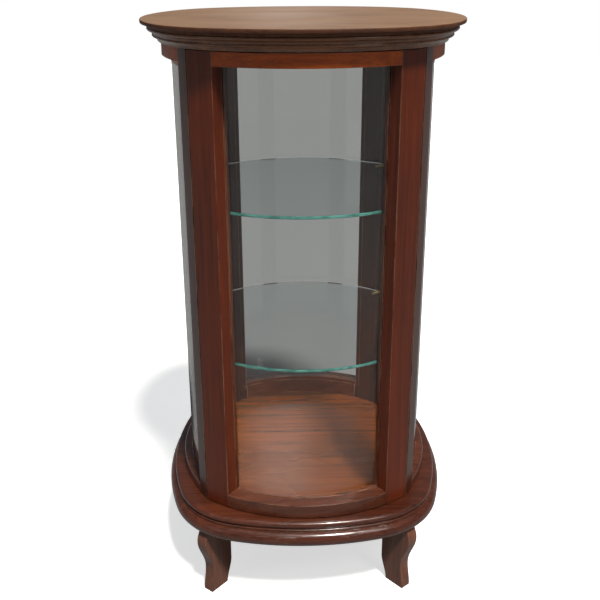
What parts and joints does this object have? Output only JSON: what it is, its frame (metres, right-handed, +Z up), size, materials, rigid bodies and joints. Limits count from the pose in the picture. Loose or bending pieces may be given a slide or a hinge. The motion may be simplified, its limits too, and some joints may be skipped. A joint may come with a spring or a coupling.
{
  "type": "glazed display case",
  "caption": "Small freestanding curio cabinet with bowed glass on every side, a moulded top and base, glass shelves, a hinged front and curved feet.",
  "frame": {"origin": "on the floor under the middle of the case", "axes": "+Z up, front door faces -Y, +X to the right seen from the front"},
  "size_m": [0.3958, 0.416, 0.738],
  "materials": {
    "top_wood": "worn satin varnish",
    "body_wood": "gloss varnish",
    "base_wood": "gloss varnish",
    "floor_wood": "gloss varnish",
    "foot_wood": "worn satin varnish",
    "dowel_wood": "bare beech",
    "panel_glass": "clear",
    "shelf_glass": "clear, green at the edges",
    "brass": "satin",
    "steel": "satin"
  },
  "bodies": {
    "case": {"base_board": "base_wood", "floor_panel": "floor_wood", "front_left_foot": "foot_wood", "front_right_foot": "foot_wood", "rear_left_foot": "foot_wood", "rear_right_foot": "foot_wood", "foot_dowels": "dowel_wood", "left_plinth_rail": "body_wood", "right_plinth_rail": "body_wood", "left_frieze_rail": "body_wood", "right_frieze_rail": "body_wood", "left_corner_post": "body_wood", "right_corner_post": "body_wood", "left_glass": "panel_glass", "right_glass": "panel_glass", "rear_left_stile": "body_wood", "rear_right_stile": "body_wood", "rear_top_rail": "body_wood", "rear_bottom_rail": "body_wood", "rear_glass": "panel_glass", "rear_side_beads": "body_wood", "rear_rail_beads": "body_wood", "rear_frame_dowels": "dowel_wood", "case_pivot_plates": "brass", "case_pivot_screws": "brass", "catch_magnet": "steel", "catch_magnet_screws": "steel", "lower_shelf": "shelf_glass", "upper_shelf": "shelf_glass", "shelf_pins": "brass", "cornice_board": "body_wood", "top_board": "top_wood", "top_screws": "steel"},
    "door": {"door_left_stile": "body_wood", "door_right_stile": "body_wood", "door_top_rail": "body_wood", "door_bottom_rail": "body_wood", "door_glass": "panel_glass", "door_side_beads": "body_wood", "door_rail_beads": "body_wood", "door_frame_dowels": "dowel_wood", "door_pivot_plates": "brass", "door_pivot_screws": "brass", "catch_strike": "steel", "catch_strike_screws": "steel"}
  },
  "joints": [
    {"name": "door_swing", "type": "hinge", "parent": "case", "child": "door", "pos_m": [0.12367, -0.14173, 0.4225], "axis": [0, 0, 1], "range_deg": [0, 110]}
  ]
}
